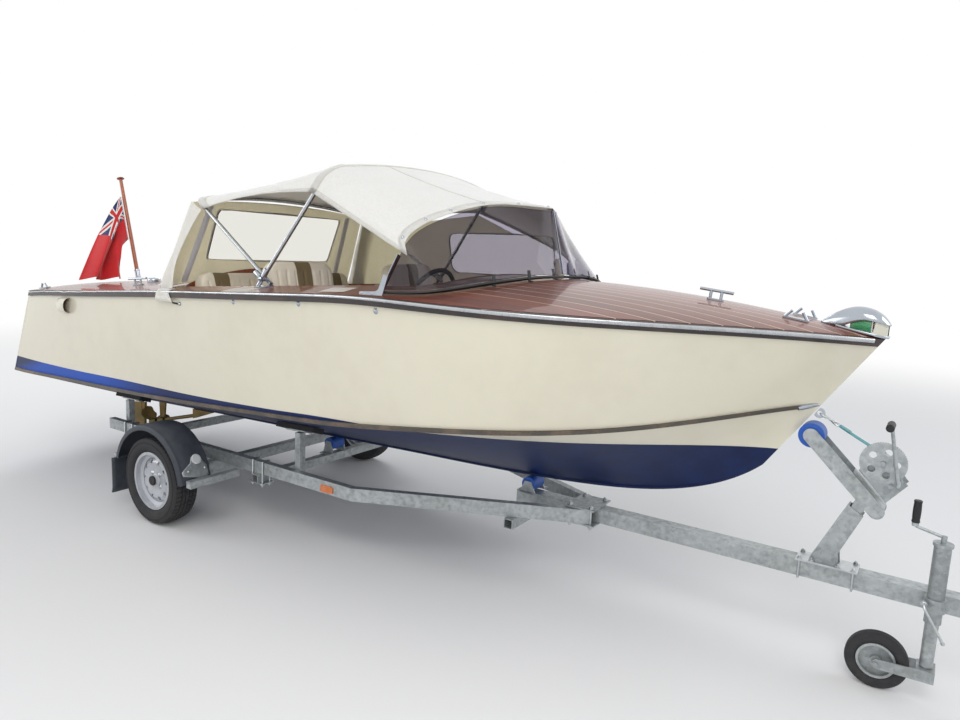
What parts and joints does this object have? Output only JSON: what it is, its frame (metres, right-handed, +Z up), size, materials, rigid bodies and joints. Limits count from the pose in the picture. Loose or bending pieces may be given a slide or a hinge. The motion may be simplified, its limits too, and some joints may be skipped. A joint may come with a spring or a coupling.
{
  "type": "wooden speedboat on its road trailer",
  "caption": "Hard-chine varnished-deck runabout with hood, seats and inboard drive, standing on a galvanised winch trailer with a jockey wheel.",
  "frame": {"origin": "on the ground, halfway along the whole length, on the centreline", "axes": "+X forward to the tow coupling, +Y to port, +Z up"},
  "size_m": [6.342, 1.9446, 2.14],
  "materials": {
    "cream_topsides": "cream boat enamel over planking",
    "blue_bottom": "navy antifouling",
    "varnished_deck": "varnished mahogany with pale seams",
    "varnished_trim": "varnished mahogany",
    "plywood": "painted marine plywood",
    "weathered_rail": "weathered half round rail",
    "stainless": "polished stainless steel",
    "tinted_screen": "tinted acrylic",
    "clear_window": "clear flexible vinyl",
    "black_rubber": "black rubber",
    "seat_vinyl": "cream vinyl with olive stripes",
    "hood_cloth": "cream acrylic canvas",
    "flag_cloth": "red bunting with a blue canton",
    "engine": "plain block",
    "bronze": "bronze",
    "galvanised": "hot dip galvanised steel",
    "tyre_rubber": "road tyre",
    "white_rim": "silver white painted steel",
    "guard_plastic": "moulded mudguard",
    "blue_roller": "blue polyurethane",
    "pad_rubber": "black bunk pad",
    "teal_webbing": "woven strap"
  },
  "bodies": {
    "root": {"topside_starboard": "cream_topsides", "topside_port": "cream_topsides", "transom": "cream_topsides", "bottom_starboard": "blue_bottom", "bottom_port": "blue_bottom", "keel": "blue_bottom", "hull_rails": "weathered_rail", "aft_deck": "varnished_deck", "side_decks": "varnished_deck", "foredeck": "varnished_deck", "coaming": "varnished_trim", "dashboard": "varnished_trim", "floor_and_bulkheads": "plywood", "seat_boxes": "plywood", "seat_cushions": "seat_vinyl", "seat_backs": "seat_vinyl", "windscreen_starboard": "tinted_screen", "windscreen_port": "tinted_screen", "screen_gasket": "black_rubber", "screen_frame": "stainless", "main_bow": "stainless", "rear_bow": "stainless", "canopy": "hood_cloth", "rear_curtain": "hood_cloth", "side_curtain": "hood_cloth", "curtain_windows": "clear_window", "deck_fittings": "stainless", "bow_light": "stainless", "flagstaff": "varnished_trim", "flag": "flag_cloth", "engine_block": "engine", "stern_gear": "bronze", "rail_starboard": "galvanised", "rail_port": "galvanised", "drawbar": "galvanised", "cross_tubes": "galvanised", "axle": "galvanised", "mudguards": "guard_plastic", "guard_brackets": "galvanised", "rollers": "blue_roller", "hull_pads": "pad_rubber", "hull_supports": "galvanised", "winch_post": "galvanised", "winch": "galvanised", "winch_strap": "teal_webbing", "jockey_tube": "galvanised", "coupling_head": "galvanised"},
    "wheel_starboard": {"tyre_starboard": "tyre_rubber", "rim_starboard": "white_rim"},
    "wheel_port": {"tyre_port": "tyre_rubber", "rim_port": "white_rim"},
    "jockey_leg": {"jockey_leg": "galvanised"},
    "jockey_fork": {"jockey_fork": "galvanised"},
    "jockey_wheel": {"jockey_tyre": "tyre_rubber", "jockey_rim": "galvanised"},
    "steering_wheel": {"steering_wheel": "black_rubber"},
    "rudder": {"rudder": "bronze"},
    "propeller": {"propeller": "bronze"},
    "engine_hatch": {"engine_hatch": "varnished_deck"}
  },
  "joints": [
    {"name": "wheel_starboard_spin", "type": "hinge", "parent": "root", "child": "wheel_starboard", "pos_m": [-1.19, -0.875, 0.261], "axis": [0, 1, 0], "continuous": true},
    {"name": "wheel_port_spin", "type": "hinge", "parent": "root", "child": "wheel_port", "pos_m": [-1.19, 0.875, 0.261], "axis": [0, 1, 0], "continuous": true},
    {"name": "jockey_leg_slide", "type": "slide", "parent": "root", "child": "jockey_leg", "axis": [0, 0, 1], "range_m": [-0.11, 0.09]},
    {"name": "jockey_swivel", "type": "hinge", "parent": "jockey_leg", "child": "jockey_fork", "pos_m": [2.675, -0.112, 0.145], "axis": [0, 0, 1], "continuous": true},
    {"name": "jockey_wheel_spin", "type": "hinge", "parent": "jockey_fork", "child": "jockey_wheel", "pos_m": [2.507, -0.112, 0.115], "axis": [0, 1, 0], "continuous": true},
    {"name": "steering_turn", "type": "hinge", "parent": "root", "child": "steering_wheel", "pos_m": [0.43, -0.44, 1.4], "axis": [0.9397, 0, -0.342], "range_deg": [-270, 270]},
    {"name": "rudder_turn", "type": "hinge", "parent": "root", "child": "rudder", "pos_m": [-2.81, 0, 0.3], "axis": [0, 0, 1], "range_deg": [-35.5, 35.5]},
    {"name": "propeller_spin", "type": "hinge", "parent": "root", "child": "propeller", "pos_m": [-2.64, 0, 0.215], "axis": [0.9703, 0, 0.2419], "continuous": true},
    {"name": "engine_hatch_lift", "type": "hinge", "parent": "root", "child": "engine_hatch", "pos_m": [-1.563, 0, 1.4246], "axis": [0, 1, 0], "range_deg": [0, 85]}
  ],
  "couplings": [
    {"joint": "rudder_turn", "follows": "steering_turn", "ratio": 0.12963}
  ]
}
